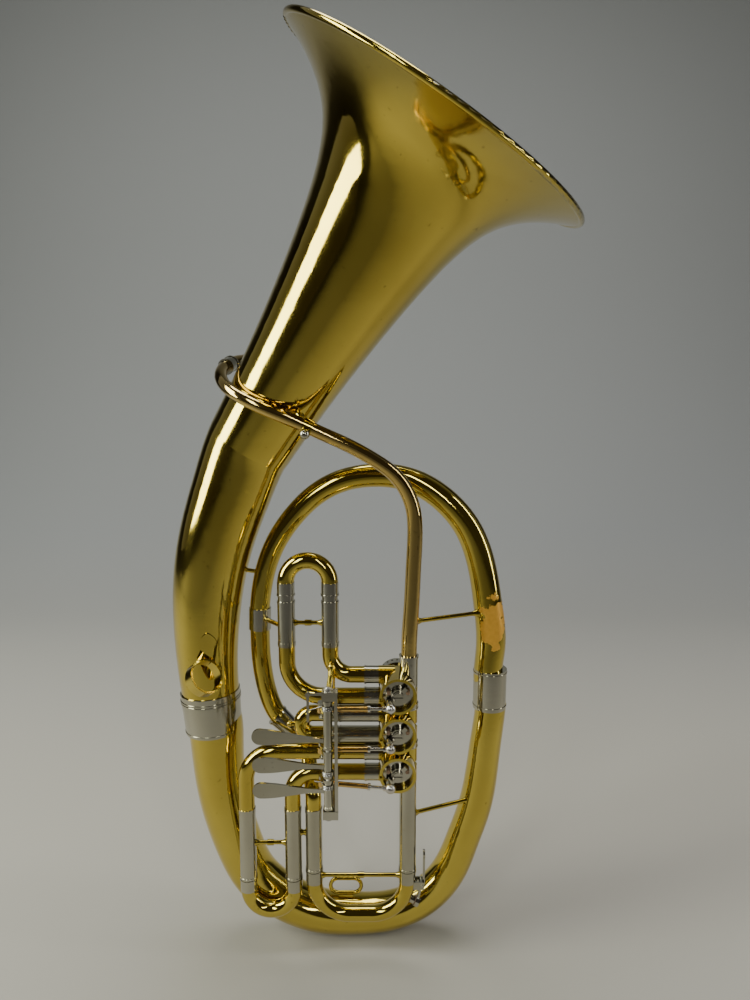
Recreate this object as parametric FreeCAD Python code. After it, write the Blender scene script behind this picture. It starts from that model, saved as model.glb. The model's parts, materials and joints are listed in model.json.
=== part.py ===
"""Oval tenor horn in B flat with three rotary valves, mechanical linkages and four slides.

Millimetres. The horn stands in the XZ plane: +Z up towards the bell, +X to the player's left,
-Y to the side the levers are on. It is laid out about the middle of its oval and moved at the
end, so that the origin is the middle of the foot of its bounding box.
"""
import FreeCAD, Part
import math
import os

V = FreeCAD.Vector

# ---- driving dimensions -------------------------------------------------------------------
ORIGIN = V(-10.33, -41.015, -363.19)   # foot of the bounding box, in the layout frame
PORT_Y = -27.0                    # plane of the valve ports and of every slide
SHEET = 0.6                       # brass sheet of the large tubes

SLEEVE_R = 6.5                    # outer slide tube
SLEEVE_IN = 6.1
SLIDE_R = 6.04                    # inner slide tube
SLIDE_IN = 5.6
TUBE_R = 6.2                      # fixed brass tube between valves and slides
TUBE_IN = 5.6
FERRULE_R = 6.6                   # nickel ferrules on those tubes

VALVE_X = 16.8
VALVE_TOP_Z = -136.8
VALVE_PITCH = 30.6
VALVE_Z = [VALVE_TOP_Z - VALVE_PITCH * k for k in range(3)]
PORT_OFFSET = 8.5                 # port axes from the rotor axis
CASING_R = 13.1
BOSS_R = 6.75                     # port bosses on a casing
BOSS_REACH = 14.2
CASING_IN = 11.6
CASING_FRONT = -49.0
CASING_BACK = -12.0
ROTOR_CLEARANCE = 0.05
ROTOR_FRONT = -40.0
ROTOR_BACK = -15.0
SPINDLE_R = 3.0
BEARING_FRONT = -43.5
CAP_R = 14.4

ARM_FRONT = -48.2                 # stop arm, turning in front of the bearing plate
ARM_BACK = -45.4
BALL_RADIUS_ARM = 8.0             # from the rotor axis to the ball
BALL_Y = -56.0
BALL_R = 2.4
BALL_DROP = BALL_RADIUS_ARM * math.sqrt(0.5)

AXLE_X = -32.2
AXLE_R = 1.8
CRANK = 24.0                      # lever axle to the linkage pin
AXLE_Y = BALL_Y - CRANK
LEVER_HALF_SWING = math.asin(BALL_DROP / CRANK)
HINGE_R = 3.1
PIN_R = 1.1
EYE_IN = 1.85
PADDLE_Z = [-154.5, -173.6, -191.3]      # paddle at the axle
PADDLE_TIP_RISE = [3.4, 1.6, 0.4]
EYE_Z = [VALVE_Z[0] - BALL_DROP, VALVE_Z[1] - BALL_DROP, VALVE_Z[2] - BALL_DROP + 5.0]
HINGE_SPANS = [(-160.0, -125.4), (-181.0, -161.6), (-204.2, -182.6)]
SPRING_Z = [-130.4, -177.6, -187.6]

MAIN_LEFT_X = -47.5
MAIN_RIGHT_X = VALVE_X + PORT_OFFSET
FIRST_LEFT_X = -65.8
FIRST_RIGHT_X = -33.4
THIRD_LEFT_X = -99.0
THIRD_RIGHT_X = -63.5

# ---- bell axis: straight from BELL_BASE to the rim ------------------------------------------
BELL_BASE = V(-93.0, -3.0, 44.0)
BELL_AXIS = V(0.5334, -0.1862, 0.825)
BELL_AXIS.normalize()
RIM_AT = 249.6
RIM_ROLL_R = 2.0
RIM_WIRE_R = 1.4
RIM_R = 113.0


# ---- helpers ----------------------------------------------------------------------------
def port_z(valve, side):
    """Height of a valve's upper (+1) or lower (-1) ports."""
    return VALVE_Z[valve] + side * PORT_OFFSET


def cylinder(start, end, radius):
    axis = end - start
    return Part.makeCylinder(radius, axis.Length, start, axis)


def cone(start, end, start_r, end_r):
    axis = end - start
    return Part.makeCone(start_r, end_r, axis.Length, start, axis)


def hollow(start, end, r_out, r_in):
    return cylinder(start, end, r_out).cut(cylinder(start, end, r_in))


def box(low, high):
    size = high - low
    return Part.makeBox(size.x, size.y, size.z, low)


def local_box(centre, x_axis, y_axis, size):
    """A box about centre whose edges follow x_axis, y_axis and their cross product."""
    z_axis = x_axis.cross(y_axis)
    matrix = frame_matrix(centre, x_axis, y_axis, z_axis)
    block = Part.makeBox(size.x, size.y, size.z, size * -0.5)
    return block.transformGeometry(matrix)


def frame_matrix(origin, x_axis, y_axis, z_axis):
    return FreeCAD.Matrix(
        x_axis.x, y_axis.x, z_axis.x, origin.x,
        x_axis.y, y_axis.y, z_axis.y, origin.y,
        x_axis.z, y_axis.z, z_axis.z, origin.z,
        0, 0, 0, 1,
    )


def unit(vector):
    copy = V(vector)
    copy.normalize()
    return copy


def bent_path(points, radii):
    """Straight runs through points, each inner corner rounded by an arc of the given radius."""
    edges = []
    start = points[0]
    for before, corner, after, radius in zip(points, points[1:], points[2:], radii):
        back = unit(before - corner)
        on = unit(after - corner)
        half = back.getAngle(on) / 2
        inward = unit(back + on)
        enter = corner + back * (radius / math.tan(half))
        leave = corner + on * (radius / math.tan(half))
        middle = corner + inward * (radius / math.sin(half) - radius)
        if (enter - start).Length > 1e-6:
            edges.append(Part.makeLine(start, enter))
        edges.append(Part.Arc(enter, middle, leave).toShape())
        start = leave
    edges.append(Part.makeLine(start, points[-1]))
    return Part.Wire(edges)


def rod(points, radii, radius):
    """A solid round bar along a bent path."""
    path = bent_path(points, radii)
    profile = Part.Wire([Part.makeCircle(radius, points[0], points[1] - points[0])])
    return path.makePipeShell([profile], True, False)


def tube(points, radii, r_out=TUBE_R, r_in=TUBE_IN):
    return rod(points, radii, r_out).cut(rod(points, radii, r_in))


def station_frames(centres, first, last):
    """Tangents at each centre, and a seam direction carried along without twist."""
    tangents = [unit(first)]
    for before, after in zip(centres, centres[2:]):
        tangents.append(unit(after - before))
    tangents.append(unit(last))
    seam = V(0, 1, 0)
    if abs(tangents[0].y) > 0.7:
        seam = V(0, 0, 1)
    seams = []
    for tangent in tangents:
        seam = unit(seam - tangent * seam.dot(tangent))
        seams.append(seam)
    return tangents, seams


def tapered(stations, first, last, inset=0.0):
    """A solid through round sections; a station is (x, y, z, radius)."""
    centres = [V(*station[:3]) for station in stations]
    tangents, seams = station_frames(centres, first, last)
    wires = []
    for station, centre, tangent, seam in zip(stations, centres, tangents, seams):
        circle = Part.makeCircle(station[3] - inset)
        circle.Placement = FreeCAD.Placement(frame_matrix(centre, seam, tangent.cross(seam), tangent))
        wires.append(Part.Wire([circle]))
    return Part.makeLoft(wires, True, False)


def sphere(centre, radius):
    return Part.makeSphere(radius, centre)


def torus(centre, axis, ring_r, wire_r):
    return Part.makeTorus(ring_r, wire_r, centre, axis)


def ring_band(centre, axis, r_out, r_in, width):
    half = unit(axis) * (width / 2)
    return hollow(centre - half, centre + half, r_out, r_in)


def joined(shapes):
    whole = shapes[0]
    if len(shapes) > 1:
        whole = shapes[0].fuse(shapes[1:])
    return whole.removeSplitter()


def stay(start, end, radius=1.7, foot=3.6, foot_length=4.5):
    """A round stay between two tubes, with a flared foot at each end."""
    along = unit(end - start)
    return joined([
        cylinder(start, end, radius),
        cone(start, start + along * foot_length, foot, radius),
        cone(end - along * foot_length, end, radius, foot),
    ])


# ---- large tubes --------------------------------------------------------------------------
BOTTOM_STATIONS = [
    (91.0, 0, -150, 11.9), (89.8, 0, -185, 12.3), (86.2, 0, -218, 12.8), (79.2, 0, -257, 13.3),
    (65.0, 0, -299, 13.8), (44.0, 0, -329, 14.3), (12.0, 0, -344.8, 15.1), (-18.0, 0, -347.2, 15.9),
    (-44.0, 0, -345.0, 16.7), (-69.0, 0, -335.5, 17.4), (-90.5, 0, -320.0, 18.0),
    (-106.0, 0, -297.0, 18.6), (-117.5, 0, -263.0, 19.2), (-125.3, 0, -218.0, 20.0),
    (-129.4, 0, -170.0, 21.4),
]
TOP_STATIONS = [
    (91.0, 0, -150, 11.9), (90.7, 0, -118, 11.6), (88.2, 0, -85, 11.3), (81.4, 0, -48, 10.9),
    (70.3, 0, -20.6, 10.4), (55.6, 0, -2.7, 10.0), (37.8, 0, 10.4, 9.6), (17.0, 0, 17.8, 9.2),
    (-2.0, 0, 18.9, 8.9), (-22.0, 0, 15.8, 8.7), (-43.5, 0, 5.4, 8.5), (-61.0, 0, -11.0, 8.3),
    (-74.5, 0, -30.0, 8.1), (-84.4, 0, -54.0, 7.9), (-89.0, 0, -78.0, 7.8), (-89.8, 0, -93.0, 7.7),
]
BRANCH_FOOT = V(-75.0, 0, -176.0)
BRANCH_STATIONS = [
    (-89.8, 0, -93.0, 7.7), (-90.0, 0, -112.0, 7.6), (-89.0, 0, -131.0, 7.5),
    (-86.2, 0, -149.0, 7.4), (-81.6, 0, -164.5, 7.3), (BRANCH_FOOT.x, 0, BRANCH_FOOT.z, 7.2),
]
STEM_STATIONS = [
    (-129.4, 0, -170, 21.4), (-131.2, 0, -140, 22.9), (-131.8, 0, -110, 24.5), (-130.3, 0, -80, 26.3),
    (-125.8, -0.1, -48, 27.9), (-117.8, -0.6, -18, 29.1), (-106.6, -1.5, 13, 30.4),
    (BELL_BASE.x, BELL_BASE.y, BELL_BASE.z, 32.3),
]
FLARE_PROFILE = [   # distance along the bell axis, outer radius
    (0, 32.3), (52, 35.4), (112, 41.3), (162, 48.6), (196, 56.7), (219, 68.0),
    (233.5, 83.0), (242.5, 97.8), (248.0, 110.3),
]
DOWN = V(0, 0, -1)
UP = V(0, 0, 1)
BRANCH_END = unit(V(0.7, 0, -0.714))
STEM_START = unit(V(-0.06, 0, 1))


def on_bell_axis(distance):
    return BELL_BASE + BELL_AXIS * distance


def flare_solid(inset):
    """The flare as a solid of revolution about the bell axis, its surface moved in by inset."""
    side = unit(V(0, 1, 0) - BELL_AXIS * BELL_AXIS.y)
    rows = []
    count = len(FLARE_PROFILE)
    for index, (along, radius) in enumerate(FLARE_PROFILE):
        before = FLARE_PROFILE[max(index - 1, 0)]
        after = FLARE_PROFILE[min(index + 1, count - 1)]
        slope = math.atan2(after[1] - before[1], after[0] - before[0])
        rows.append((along + inset * math.sin(slope), radius - inset * math.cos(slope)))
    rows[0] = (0, FLARE_PROFILE[0][1] - inset)
    points = [on_bell_axis(along) + side * radius for along, radius in rows]
    curve = Part.BSplineCurve()
    curve.interpolate(points)
    end = on_bell_axis(rows[-1][0])
    outline = Part.Wire([
        curve.toShape(),
        Part.makeLine(points[-1], end),
        Part.makeLine(end, BELL_BASE),
        Part.makeLine(BELL_BASE, points[0]),
    ])
    return Part.Face(outline).revolve(BELL_BASE, BELL_AXIS, 360)


def bell_outer():
    stem = tapered(STEM_STATIONS, STEM_START, BELL_AXIS)
    return stem, flare_solid(0)


def make_bell(stem_outer, flare_outer):
    stem = stem_outer.cut(tapered(STEM_STATIONS, STEM_START, BELL_AXIS, SHEET))
    flare = flare_outer.cut(flare_solid(SHEET))
    ring_r = RIM_R - RIM_ROLL_R
    roll = torus(on_bell_axis(RIM_AT), BELL_AXIS, ring_r, RIM_ROLL_R)
    wire = torus(on_bell_axis(RIM_AT), BELL_AXIS, ring_r, RIM_WIRE_R)
    bell = stem.fuse([flare, roll]).cut(wire)
    return bell, wire


def body_ferrule(outer_tubes):
    stations = [(-130.6, 0, -151.5, 23.3), (-130.0, 0, -160, 22.9), (-129.2, 0, -172, 22.4),
                (-128.3, 0, -184.0, 21.9)]
    direction = unit(V(0.06, 0, -1))
    ferrule = tapered(stations, direction, direction)
    for at, lift in ((0.14, 0.45), (0.2, 0.45), (0.93, 0.4)):
        low = V(-130.6 + 2.3 * at, 0, -151.5 - 32.5 * at)
        radius = 23.3 - 1.4 * at + lift
        ferrule = ferrule.fuse(cylinder(low, low + direction * 1.1, radius))
    return ferrule.removeSplitter().cut(outer_tubes)


def bow_ferrule(outer_tubes):
    ferrule = cylinder(V(90.9, 0, -134), V(90.7, 0, -166), 13.0)
    for z in (-136.5, -163.5):
        ferrule = ferrule.fuse(cylinder(V(90.8, 0, z + 0.6), V(90.8, 0, z - 0.6), 13.4))
    return ferrule.removeSplitter().cut(outer_tubes)


def branch_ferrules(outer_tubes):
    band = hollow(V(-89.5, 0, -84.5), V(-90, 0, -101.5), 8.6, 6.0)
    socket_start = BRANCH_FOOT - BRANCH_END * 4.5
    socket_end = BRANCH_FOOT + BRANCH_END * 12
    socket = cone(socket_start, socket_end, 8.6, 7.6)
    socket = socket.fuse(cylinder(socket_start, socket_start + BRANCH_END * 1.6, 9.1))
    return band.cut(outer_tubes), socket.removeSplitter()


def return_tube():
    """From the branch socket, behind the third valve's tubes, forward to the main slide."""
    points = [BRANCH_FOOT + BRANCH_END * 0.3, BRANCH_FOOT + BRANCH_END * 29,
              V(MAIN_LEFT_X, PORT_Y, -226.0), V(MAIN_LEFT_X, PORT_Y, -239.0)]
    return tube(points, [14.0, 8.0]), rod(points, [14.0, 8.0], TUBE_R)


# ---- leadpipe -----------------------------------------------------------------------------
LEADPIPE_STATIONS = [
    (-80.0, 56.0, 110.0, 4.9), (-95.0, 34.0, 107.0, 4.7), (-106.5, 10.0, 103.5, 4.6),
    (-110.8, -13.0, 96.8, 4.5), (-105.0, -34.0, 86.5, 4.5), (-92.0, -45.5, 78.0, 4.5),
    (-75.0, -50.0, 70.0, 4.6), (-56.0, -49.5, 62.0, 4.7), (-36.0, -47.0, 53.0, 4.8),
    (-17.0, -43.5, 44.0, 4.9), (-0.7, -40.0, 34.5, 5.0), (13.6, -36.5, 23.5, 5.2),
    (22.8, -33.2, 10.5, 5.4), (27.6, -30.6, -3.5, 5.5), (29.0, -28.8, -20.0, 5.7),
    (28.2, -27.5, -45.0, 5.8), (27.0, -27.0, -75.0, 5.9), (25.6, -27.0, -100.0, 6.0),
    (MAIN_RIGHT_X, -27.0, -118.0, 6.0),
]
RECEIVER_AXIS = unit(V(15, 22, 3))        # from the pipe to the mouth end
RECEIVER_START = V(-88.0, 44.27, 108.4)
RECEIVER_LENGTH = 36.0
RECEIVER_BORE_R = 5.3
RECEIVER_LAND = 10.0
LEADPIPE_WALL = 0.7


def leadpipe_solid(inset):
    return tapered(LEADPIPE_STATIONS, RECEIVER_AXIS * -1, DOWN, inset)


def mouthpiece_receiver(pipe_outer):
    start = RECEIVER_START
    end = start + RECEIVER_AXIS * RECEIVER_LENGTH
    body = joined([
        cylinder(start, end, 7.0),
        cylinder(start, start + RECEIVER_AXIS * 3, 7.8),
        cylinder(end - RECEIVER_AXIS * 6, end, 8.2),
    ])
    land_start = end - RECEIVER_AXIS * RECEIVER_LAND
    bore = joined([
        cone(start + RECEIVER_AXIS * 9, land_start, 4.2, RECEIVER_BORE_R),
        cylinder(land_start, end, RECEIVER_BORE_R),
    ])
    return body.cut(bore).cut(pipe_outer)


# ---- leadpipe clamp and its screw -------------------------------------------------------------
CLAMP_AT = V(-46.5, -48.3, 57.7)           # on the leadpipe's axis
CLAMP_ALONG = unit(V(0.905, 0.113, -0.407))
CLAMP_OUT = unit(V(-0.079, -0.90, -0.429))
CLAMP_R = 5.9
TO_BELL = unit(V(-0.44, 0.773, 0.459))
SCREW_HOLE_R = 1.36
SCREW_R = 1.28
SCREW_BALL_AT = 10.4
SCREW_BALL_R = 3.5


def leadpipe_clamp(neighbours):
    """A collar round the leadpipe, tapped for a screw, with a stay back to the bell."""
    half = CLAMP_ALONG * 3.4
    body = joined([
        cylinder(CLAMP_AT - half, CLAMP_AT + half, CLAMP_R),
        cylinder(CLAMP_AT, CLAMP_AT + CLAMP_OUT * 6.5, 2.6),
        stay(CLAMP_AT, CLAMP_AT + TO_BELL * 15.5, 2.0, 4.6, 4.0),
    ])
    hole = cylinder(CLAMP_AT, CLAMP_AT + CLAMP_OUT * 8, SCREW_HOLE_R)
    return body.cut(neighbours).cut(hole)


def clamp_screw():
    """A thumbscrew with a ball for a head."""
    ball = CLAMP_AT + CLAMP_OUT * SCREW_BALL_AT
    return joined([cylinder(CLAMP_AT + CLAMP_OUT * 5.15, ball, SCREW_R), sphere(ball, SCREW_BALL_R)])


# ---- valves ---------------------------------------------------------------------------------
def valve_centre(k, y):
    return V(VALVE_X, y, VALVE_Z[k])


def port_cylinders(k, radius, inner, outer):
    """Cylinders on a valve's four ports: two run left, two run vertically on the right."""
    z = VALVE_Z[k]
    right = VALVE_X + PORT_OFFSET
    cylinders = []
    for side in (1, -1):
        level = z + side * PORT_OFFSET
        far_left = V(VALVE_X - outer, PORT_Y, level)
        near_left = V(VALVE_X - inner, PORT_Y, level)
        near_right = V(right, PORT_Y, z + side * inner)
        far_right = V(right, PORT_Y, z + side * outer)
        cylinders.append(cylinder(far_left, near_left, radius))
        cylinders.append(cylinder(near_right, far_right, radius))
    return cylinders


def port_cutters(k, radius):
    return port_cylinders(k, radius, 4, BOSS_REACH + 2)


def port_bosses(k):
    return port_cylinders(k, BOSS_R, 2, BOSS_REACH)


def valve_casing(k):
    front = valve_centre(k, CASING_FRONT)
    back = valve_centre(k, CASING_BACK)
    bead = cylinder(front, valve_centre(k, CASING_FRONT + 2.2), CASING_R + 0.5)
    barrel = joined([cylinder(front, back, CASING_R), bead] + port_bosses(k))
    barrel = barrel.cut(cylinder(front, back, CASING_IN))
    seat = hollow(valve_centre(k, BEARING_FRONT), valve_centre(k, ROTOR_FRONT - 0.1), 12.0, 11.0)
    return barrel.fuse(seat).removeSplitter().cut(port_cutters(k, TUBE_IN))


def bearing_plate(k):
    front = valve_centre(k, BEARING_FRONT)
    plate = cylinder(front, valve_centre(k, ROTOR_FRONT - 0.1), 10.98)
    boss = cylinder(valve_centre(k, BEARING_FRONT - 1.2), front, 5.2)
    hole = cylinder(valve_centre(k, -52), valve_centre(k, -38), SPINDLE_R + ROTOR_CLEARANCE)
    return plate.fuse(boss).removeSplitter().cut(hole)


def back_plate(k):
    plate = cylinder(valve_centre(k, ROTOR_BACK + 0.1), valve_centre(k, CASING_BACK), CASING_IN - 0.02)
    hole = cylinder(valve_centre(k, -18), valve_centre(k, -10), SPINDLE_R + ROTOR_CLEARANCE)
    return plate.cut(hole)


def valve_cap(k):
    shell = joined([
        cylinder(valve_centre(k, -18.0), valve_centre(k, -9.0), CAP_R),
        cone(valve_centre(k, -9.0), valve_centre(k, -6.6), CAP_R, CAP_R - 2.8),
        cylinder(valve_centre(k, -6.6), valve_centre(k, -4.6), 3.4),
    ])
    knurls = []
    for step in range(24):
        angle = math.radians(15 * step)
        ring_r = CAP_R + 0.3
        groove = V(VALVE_X + ring_r * math.cos(angle), -16.5, VALVE_Z[k] + ring_r * math.sin(angle))
        knurls.append(cylinder(groove, groove + V(0, 5.5, 0), 0.7))
    room = joined([
        cylinder(valve_centre(k, -18.0), valve_centre(k, -12.0), CASING_R),
        cylinder(valve_centre(k, -12.0), valve_centre(k, -9.6), 11.0),
    ])
    return shell.cut(room).cut(knurls)


def rotor(k):
    front = valve_centre(k, ROTOR_FRONT)
    back = valve_centre(k, ROTOR_BACK)
    body = cylinder(front, back, CASING_IN - ROTOR_CLEARANCE)
    spindle = cylinder(valve_centre(k, ARM_FRONT), valve_centre(k, -10.5), SPINDLE_R)
    passages = []
    for side in (1, -1):
        hub = valve_centre(k, PORT_Y) + V(side * CASING_IN * math.sqrt(2), 0, 0)
        nearest = hub - V(side * CASING_IN, 0, 0)
        ellipse = Part.Ellipse(nearest + V(0, 7.0, 0), nearest + V(side * 4.6, 0, 0), nearest)
        face = Part.Face(Part.Wire([ellipse.toShape()]))
        face.rotate(hub, V(0, 1, 0), -65)
        passages.append(face.revolve(hub, V(0, 1, 0), 130))
    return body.cut(passages).fuse(spindle).removeSplitter()


def arm_point(k, radius, degrees, y):
    angle = math.radians(degrees)
    return V(VALVE_X + radius * math.cos(angle), y, VALVE_Z[k] + radius * math.sin(angle))


def stop_arm(k):
    """Hub, ball arm, stop finger, screw and linkage ball, all turning with the rotor."""
    hub = cylinder(valve_centre(k, ARM_FRONT), valve_centre(k, ARM_BACK), 5.0)
    thickness = ARM_BACK - ARM_FRONT
    parts = [hub]
    for degrees, length, width in ((225, BALL_RADIUS_ARM, 4.6), (45, 8.4, 3.0)):
        along = unit(arm_point(k, 1, degrees, 0) - valve_centre(k, 0))
        middle = arm_point(k, length / 2, degrees, (ARM_FRONT + ARM_BACK) / 2)
        parts.append(local_box(middle, along, V(0, 1, 0), V(length, thickness, width)))
    ball = arm_point(k, BALL_RADIUS_ARM, 225, BALL_Y)
    arm_face = arm_point(k, BALL_RADIUS_ARM, 225, ARM_FRONT)
    arm_rear = arm_point(k, BALL_RADIUS_ARM, 225, ARM_BACK)
    parts.append(cylinder(arm_face, arm_rear, 2.9))
    parts.append(cylinder(ball, arm_face, 1.1))
    parts.append(sphere(ball, BALL_R))
    arm = joined(parts).cut(cylinder(valve_centre(k, -60), valve_centre(k, -40), SPINDLE_R))
    screw = joined([
        cylinder(valve_centre(k, ARM_FRONT - 1.5), valve_centre(k, ARM_FRONT), 3.9),
        cylinder(valve_centre(k, ARM_FRONT - 2.1), valve_centre(k, ARM_FRONT - 1.5), 3.2),
    ])
    slot_low = valve_centre(k, ARM_FRONT - 3) + V(-4, 0, -0.4)
    slot_high = valve_centre(k, ARM_FRONT - 1.3) + V(4, 0, 0.4)
    slot = box(slot_low, slot_high)
    return Part.makeCompound([arm, screw.cut(slot)])


def cork_bumpers(k):
    return [
        cylinder(arm_point(k, 7.4, degrees, -47.6), arm_point(k, 7.4, degrees, BEARING_FRONT), 1.5)
        for degrees in (18, 162)
    ]


def linkage_rod(k):
    """Ball socket, locknut, thin screwed rod and gold tube with the eye at the lever end."""
    ball = arm_point(k, BALL_RADIUS_ARM, 225, BALL_Y)
    eye = V(AXLE_X - BALL_DROP, BALL_Y - 0.33, EYE_Z[k])
    along = unit(eye - ball)
    socket = sphere(ball, 3.8).cut(sphere(ball, BALL_R + 0.06))
    socket = socket.cut(cylinder(ball, ball + V(0, 6, 0), 1.75))
    thin = cylinder(ball + along * 3.3, ball + along * 16, 1.15)
    nut = cylinder(ball + along * 14.6, ball + along * 16.6, 2.5)
    collar = cylinder(ball + along * 3.0, ball + along * 5.2, 2.1)
    barrel = cylinder(ball + along * 16, eye - along * 2.6, 1.9)
    eye_ring = cylinder(eye - V(0, 0, 2), eye + V(0, 0, 2), 3.5)
    body = joined([socket, thin, nut, collar, barrel, eye_ring])
    return body.cut(cylinder(eye - V(0, 0, 4), eye + V(0, 0, 4), EYE_IN))


# ---- levers -----------------------------------------------------------------------------------
def lever_paddle(k):
    """A flat touch: thin at the axle, widening to a rounded spoon at its tip."""
    half_thickness = 0.9
    root = V(AXLE_X, AXLE_Y, PADDLE_Z[k])
    tip_z = PADDLE_Z[k] + PADDLE_TIP_RISE[k]
    length = 52.3
    upper = [V(5.0 - length, 0, 5.6), V(13 - length, 0, 5.2), V(27 - length, 0, 3.4), V(-3, 0, 1.5)]
    lower = [V(-3, 0, -1.5), V(27 - length, 0, -3.2), V(14 - length, 0, -5.2),
             V(5.0 - length, 0, -5.6)]
    slope = math.atan2(tip_z - PADDLE_Z[k], length)
    top_curve = Part.BSplineCurve()
    top_curve.interpolate(upper)
    low_curve = Part.BSplineCurve()
    low_curve.interpolate(lower)
    outline = Part.Wire([
        top_curve.toShape(),
        Part.makeLine(upper[-1], lower[0]),
        low_curve.toShape(),
        Part.Arc(lower[-1], V(-length, 0, 0), upper[0]).toShape(),
    ])
    face = Part.Face(outline)
    face.translate(V(0, -half_thickness, 0))
    paddle = face.extrude(V(0, 2 * half_thickness, 0))
    paddle.rotate(V(0, 0, 0), V(0, 1, 0), math.degrees(slope))
    paddle.translate(root)
    return paddle


def lever(k):
    low, high = HINGE_SPANS[k]
    axle = V(AXLE_X, AXLE_Y, 0)
    hinge = cylinder(axle + V(0, 0, low), axle + V(0, 0, high), HINGE_R)
    pin = V(AXLE_X - BALL_DROP, AXLE_Y + CRANK * math.cos(LEVER_HALF_SWING), EYE_Z[k])
    crank_z = EYE_Z[k] + 4.6
    along = unit(V(pin.x - AXLE_X, pin.y - AXLE_Y, 0))
    middle = V((pin.x + AXLE_X) / 2, (pin.y + AXLE_Y) / 2, crank_z)
    crank = local_box(middle, along, V(0, 0, 1), V(CRANK, 2.4, 4.4))
    boss = cylinder(V(pin.x, pin.y, crank_z - 1.2), V(pin.x, pin.y, crank_z + 1.2), 3.0)
    post = cylinder(V(pin.x, pin.y, EYE_Z[k] - 6.4), V(pin.x, pin.y, crank_z), PIN_R)
    foot = cylinder(V(pin.x, pin.y, EYE_Z[k] - 6.4), V(pin.x, pin.y, EYE_Z[k] - 5.4), 2.4)
    collars = [
        cylinder(axle + V(0, 0, z), axle + V(0, 0, z + 1.6), HINGE_R + 0.4)
        for z in (low, high - 1.6)
    ]
    body = joined([hinge, crank, boss, post, foot, lever_paddle(k)] + collars)
    return body.cut(cylinder(axle + V(0, 0, low - 1), axle + V(0, 0, high + 1), AXLE_R + 0.05))


FRAME_TOP = -118.5
BAR_X = -27.6
ANCHOR_X = -47.0
FRAME_BOTTOM = -211.0


def lever_frame(neighbours):
    """Two end blocks on a flat bar beside the axle, with arms back to the valve tubes."""
    bar = box(V(BAR_X, AXLE_Y - 3.5, FRAME_BOTTOM), V(BAR_X + 2.2, AXLE_Y + 3.0, FRAME_TOP))
    top = box(V(AXLE_X - 3.8, AXLE_Y - 3.8, -124.8), V(BAR_X + 2.2, AXLE_Y + 3.8, FRAME_TOP))
    bottom = box(V(AXLE_X - 3.8, AXLE_Y - 3.8, FRAME_BOTTOM), V(BAR_X + 2.2, AXLE_Y + 3.8, -205.0))
    upper_arm = box(V(-34.0, AXLE_Y + 3.4, -124.8), V(-30.4, -35.0, -121.6))
    lower_arm = box(V(-31.6, AXLE_Y + 3.4, -211.0), V(-27.6, -28.0, -207.4))
    anchor_arm = box(V(ANCHOR_X, AXLE_Y + 3.9, -123.8), V(-31.0, AXLE_Y + 4.9, -122.2))
    anchor = box(V(ANCHOR_X, AXLE_Y + 3.9, -143.0), V(ANCHOR_X + 1.8, AXLE_Y + 4.9, -122.2))
    head_x = ANCHOR_X + 0.9
    anchor_head = cylinder(V(head_x, AXLE_Y + 2.9, -123.0), V(head_x, AXLE_Y + 5.8, -123.0), 1.7)
    body = joined([bar, top, bottom, upper_arm, lower_arm, anchor_arm, anchor, anchor_head])
    bore = cylinder(V(AXLE_X, AXLE_Y, -212), V(AXLE_X, AXLE_Y, -117), AXLE_R)
    return body.cut(bore).cut(neighbours)


def frame_post(neighbours):
    """Brass pillar with a domed head, soldered to the first valve's tubes."""
    foot = V(-32.2, -35.0, -150.0)
    head = V(-32.2, -35.0, -119.0)
    pillar = joined([
        cylinder(foot, head, 2.7),
        sphere(head, 2.7),
        cylinder(foot, foot + V(0, 0, 3), 3.6),
    ])
    return pillar.cut(neighbours)


def lever_axle():
    base = V(AXLE_X, AXLE_Y, -212.4)
    top = V(AXLE_X, AXLE_Y, -117.0)
    return joined([
        cylinder(base, top, AXLE_R),
        cylinder(base, base + V(0, 0, 1.4), 2.8),
        cylinder(top - V(0, 0, 1.5), top, 2.8),
        sphere(top, 1.7),
    ])


def lever_spring(k):
    """Three turns round the hinge tube and a tail; each turn is drawn as a closed ring."""
    z = SPRING_Z[k]
    turns = [
        torus(V(AXLE_X, AXLE_Y, z + 1.05 * turn), V(0, 0, 1), HINGE_R + 0.85, 0.4)
        for turn in (-1, 0, 1)
    ]
    tail_start = V(AXLE_X - 1.5, AXLE_Y + HINGE_R + 0.6, z)
    tail_end = V(-46.0, AXLE_Y + 6.0, z - 5.0) if k == 0 else V(-42.5, AXLE_Y + 6.0, z)
    tail = cylinder(tail_start, tail_end, 0.4)
    return turns + [tail]


# ---- valve tubes, ferrules and knuckles -----------------------------------------------------
FIRST_SLEEVE = (-105.5, -71.0)            # bottom and top of the first slide's outer tubes
THIRD_SLEEVE = (-294.5, -236.0)
MAIN_SLEEVE = (-287.5, -236.0)
SECOND_SLEEVE = (-27.0, 2.6)              # left and right ends
CASING_LEFT = VALVE_X - BOSS_REACH
SOCKET = 3.0                              # depth of a fixed tube in its sleeve's lip


def port_tube_points(valve, side, leg_x, leg_z):
    level = port_z(valve, side)
    return [V(CASING_LEFT, PORT_Y, level), V(leg_x, PORT_Y, level), V(leg_x, PORT_Y, leg_z)]


PORT_TUBES = {
    "first_valve_tubes": [(0, 1, FIRST_RIGHT_X, FIRST_SLEEVE[0] + SOCKET, 16.0),
                          (0, -1, FIRST_LEFT_X, FIRST_SLEEVE[0] + SOCKET, 27.0)],
    "third_valve_tubes": [(2, 1, THIRD_LEFT_X, THIRD_SLEEVE[1] - SOCKET, 24.0),
                          (2, -1, THIRD_RIGHT_X, THIRD_SLEEVE[1] - SOCKET, 17.0)],
}


def valve_tubes(name, casings):
    pieces = []
    for valve, side, leg_x, leg_z, bend in PORT_TUBES[name]:
        pieces.append(tube(port_tube_points(valve, side, leg_x, leg_z), [bend]).cut(casings))
    return pieces


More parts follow.
